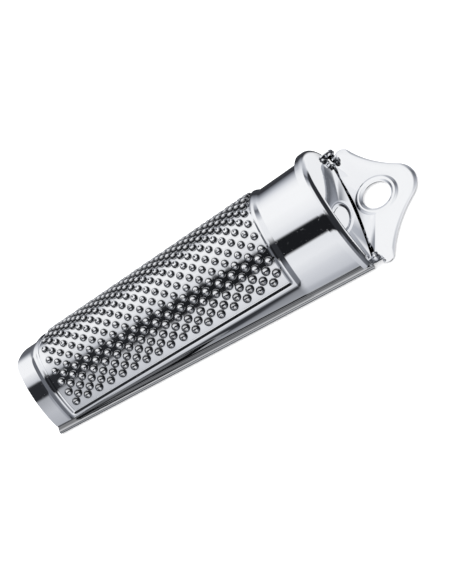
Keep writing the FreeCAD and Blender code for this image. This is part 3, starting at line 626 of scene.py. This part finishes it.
# ------------------------------------------------------------------ back plate and bulkhead
# Plain stampings of the same 0.5 mm sheet. The back plate is held in the hems and the bulkhead
# stands on it. Both keep a duller rolled finish where nobody polishes them.
back_steel = steel("back_steel", (0.84, 0.85, 0.87), rough=0.17, smear=0.08, scratch=0.05,
                   fineness=1800.0)
for name in ("compartment_back", "bulkhead"):
    dress(nodes[name], back_steel)


# ------------------------------------------------------------------ lid and hinge pins
# The lid is drawn from mirror-bright sheet, with two ears. Two short rivets, fixed in the ears,
# carry it in the hanger's lugs.
dress(nodes["lid"], steel("lid_steel", (0.92, 0.93, 0.95), rough=0.03, smear=0.02, scratch=0.008))
pin_steel = steel("pin_steel", (0.88, 0.89, 0.91), rough=0.08, smear=0.05, scratch=0.03,
                  fineness=4000.0)
for name in ("hinge_pin_left", "hinge_pin_right"):
    dress(nodes[name], pin_steel)


# ------------------------------------------------------------------ hanger
# Stamped plate of 0.5 mm sheet: hollow sides, an embossed middle with a soft border, a bead round
# the hanging hole, two hinge lugs, and a lap that is spot welded under the back plate.
HOLE = Vector((127.9, 0))
CORNER, TIP = Vector((123.0, 21.0)), Vector((132.9, 0))
CORNER_R, WAIST_R, TIP_R = 2.5, 40.0, 8.3
EMBOSS = 0.40             # lift of the plate's middle
EMBOSS_START = 118.6
EMBOSS_SLOPE = 1.6
BORDER_RINGS = 8
# the bead from its foot over its crest to the hole: radius, height
BEAD = ((7.15, 0.0), (6.85, 0.08), (6.55, 0.24), (6.25, 0.36), (5.95, 0.40), (5.65, 0.36),
        (5.35, 0.24), (5.05, 0.08), (4.85, 0.0), (4.65, -0.06))


def circle_point(centre, radius, turn):
    """Point of a circle at an angle."""
    return centre + radius * Vector((math.cos(turn), math.sin(turn)))


def plate_half(inset):
    """Outline from the base corner to the tip, on one side, set in from the plate's edge."""
    to_corner, to_tip = WAIST_R + CORNER_R, WAIST_R + TIP_R
    line = TIP - CORNER
    ahead = (to_corner**2 - to_tip**2 + line.length_squared) / (2 * line.length)
    line.normalize()
    aside = math.sqrt(to_corner**2 - ahead**2)
    waist = CORNER + line * ahead + Vector((-line.y, line.x)) * aside
    leave = math.atan2(waist.y - CORNER.y, waist.x - CORNER.x)
    arrive = math.atan2(waist.y - TIP.y, waist.x - TIP.x)
    run = []
    for centre, radius, start, end, parts in (
            (CORNER, CORNER_R - inset, 2.3, leave, 8),
            (waist, WAIST_R + inset, leave + math.pi, arrive + math.pi, 24),
            (TIP, TIP_R - inset, arrive, 0.0, 12)):
        for k in range(1 if run else 0, parts + 1):
            run.append(circle_point(centre, radius, start + (end - start) * k / parts))
    return run


def outline(inset, base):
    """Closed outline with the given base corners behind it."""
    half = [Vector(corner) for corner in base] + plate_half(inset)
    return half + [Vector((p.x, -p.y)) for p in reversed(half[:-1])]


def reach_along(loop, turn):
    """Distance from the hole's centre to an outline in one direction."""
    way = Vector((math.cos(turn), math.sin(turn)))
    best = 0.0
    for first, second in zip(loop, loop[1:] + loop[:1]):
        edge, start = second - first, first - HOLE
        across_edge = way.cross(edge)
        if abs(across_edge) < 1e-9:
            continue
        far, share = start.cross(edge) / across_edge, start.cross(way) / across_edge
        if far > 0 and -1e-6 <= share <= 1 + 1e-6:
            best = max(best, far)
    return best


edge_line = outline(0.0, ((112.5, 20.6), (118.95, 20.6), (118.95, 21.4), (121.4, 21.4),
                          (121.4, 22.9)))
border_top = outline(2.5, ((112.5, 18.3), (120.5, 18.3)))
turns = sorted({round(math.atan2(p.y, p.x - HOLE.x), 5) for p in edge_line}
               | {round(math.pi * k / 36 - math.pi, 5) for k in range(72)})
bpy.ops.object.select_all(action="DESELECT")
bpy.ops.mesh.primitive_circle_add(vertices=len(turns), radius=1)
hanger = bpy.context.object
hanger.name = "hanger_plate"
edit_mesh()
for _ in range(BORDER_RINGS + len(BEAD)):
    bpy.ops.mesh.extrude_region_move(TRANSFORM_OT_translate={"value": (0, 0, -1)})
bpy.ops.object.mode_set(mode="OBJECT")
even_turns = sorted({round(math.atan2(v.co.y, v.co.x), 4) for v in hanger.data.vertices})
for vertex in hanger.data.vertices:
    ring = round(-vertex.co.z)
    turn = turns[even_turns.index(round(math.atan2(vertex.co.y, vertex.co.x), 4))]
    rim, top = reach_along(edge_line, turn), reach_along(border_top, turn)
    top = min(top, rim - 0.1)
    share = min(ring / BORDER_RINGS, 1.0)
    far, lift = rim + (top - rim) * share ** 1.3, 0.0
    if ring > BORDER_RINGS:
        far, lift = BEAD[ring - BORDER_RINGS - 1]
    spot = circle_point(HOLE, far, turn)
    embossed = smooth((spot.x - EMBOSS_START) / EMBOSS_SLOPE)
    height = SHEET + EMBOSS * (1 - (1 - share ** 1.3) ** 3) * embossed + lift
    vertex.co = Vector((spot.x - MIDDLE, spot.y, height)) * MM
edit_mesh()
bpy.ops.mesh.normals_make_consistent(inside=False)
bpy.ops.object.mode_set(mode="OBJECT")
up = sum(face.normal.z * face.area for face in hanger.data.polygons)
if up < 0:
    hanger.data.flip_normals()
finish_with(hanger, "SOLIDIFY", thickness=SHEET * MM, offset=-1)

# hinge lugs, bent up from the plate's shoulders
HINGE = Vector((49.6648, 0, 3.2647))
LUG_R, LUG_HOLE = 1.1, 0.66
LUG_Y = 21.15             # middle of a lug's thickness, which leans in by LUG_LEAN
LUG_LEAN = 0.06
LUG_FOOT = 0.3            # over the back plane
lugs = []
ratio = LUG_R / LUG_HOLE
for side in (-1, 1):
    bpy.ops.mesh.primitive_circle_add(vertices=32, radius=LUG_HOLE)
    lug = bpy.context.object
    lug.name = "lug"
    edit_mesh()
    bpy.ops.mesh.extrude_region_move(TRANSFORM_OT_translate={"value": (0, 0, 0)})
    bpy.ops.transform.resize(value=(ratio, ratio, 1), center_override=(0, 0, 0))
    bpy.ops.object.mode_set(mode="OBJECT")
    for vertex in lug.data.vertices:
        x, y, _ = vertex.co
        if math.hypot(x, y) > 1 and y < 0:
            square = LUG_R / max(abs(x), abs(y))
            x, y = x * square, y * square * (HINGE.z - LUG_FOOT) / LUG_R
        vertex.co = Vector((HINGE.x + x, side * (LUG_Y - LUG_LEAN * y), HINGE.z + y)) * MM
    finish_with(lug, "SOLIDIFY", thickness=SHEET * MM, offset=0)
    finish_with(lug, "BEVEL", width=0.16 * MM, segments=4, limit_method="ANGLE",
                angle_limit=math.radians(50))
    lugs.append(lug)
bpy.ops.object.select_all(action="DESELECT")
for piece in lugs + [hanger]:
    piece.select_set(True)
bpy.context.view_layer.objects.active = hanger
bpy.ops.object.join()
bpy.ops.object.shade_smooth_by_angle(angle=math.radians(35))
dress(hanger, steel("hanger_steel", (0.91, 0.92, 0.94), rough=0.06, smear=0.04, scratch=0.015))
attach(hanger, "grater")
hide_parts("hanger")


# ------------------------------------------------------------------ finish
# Plain view.
bpy.context.scene.view_settings.view_transform = "Standard"
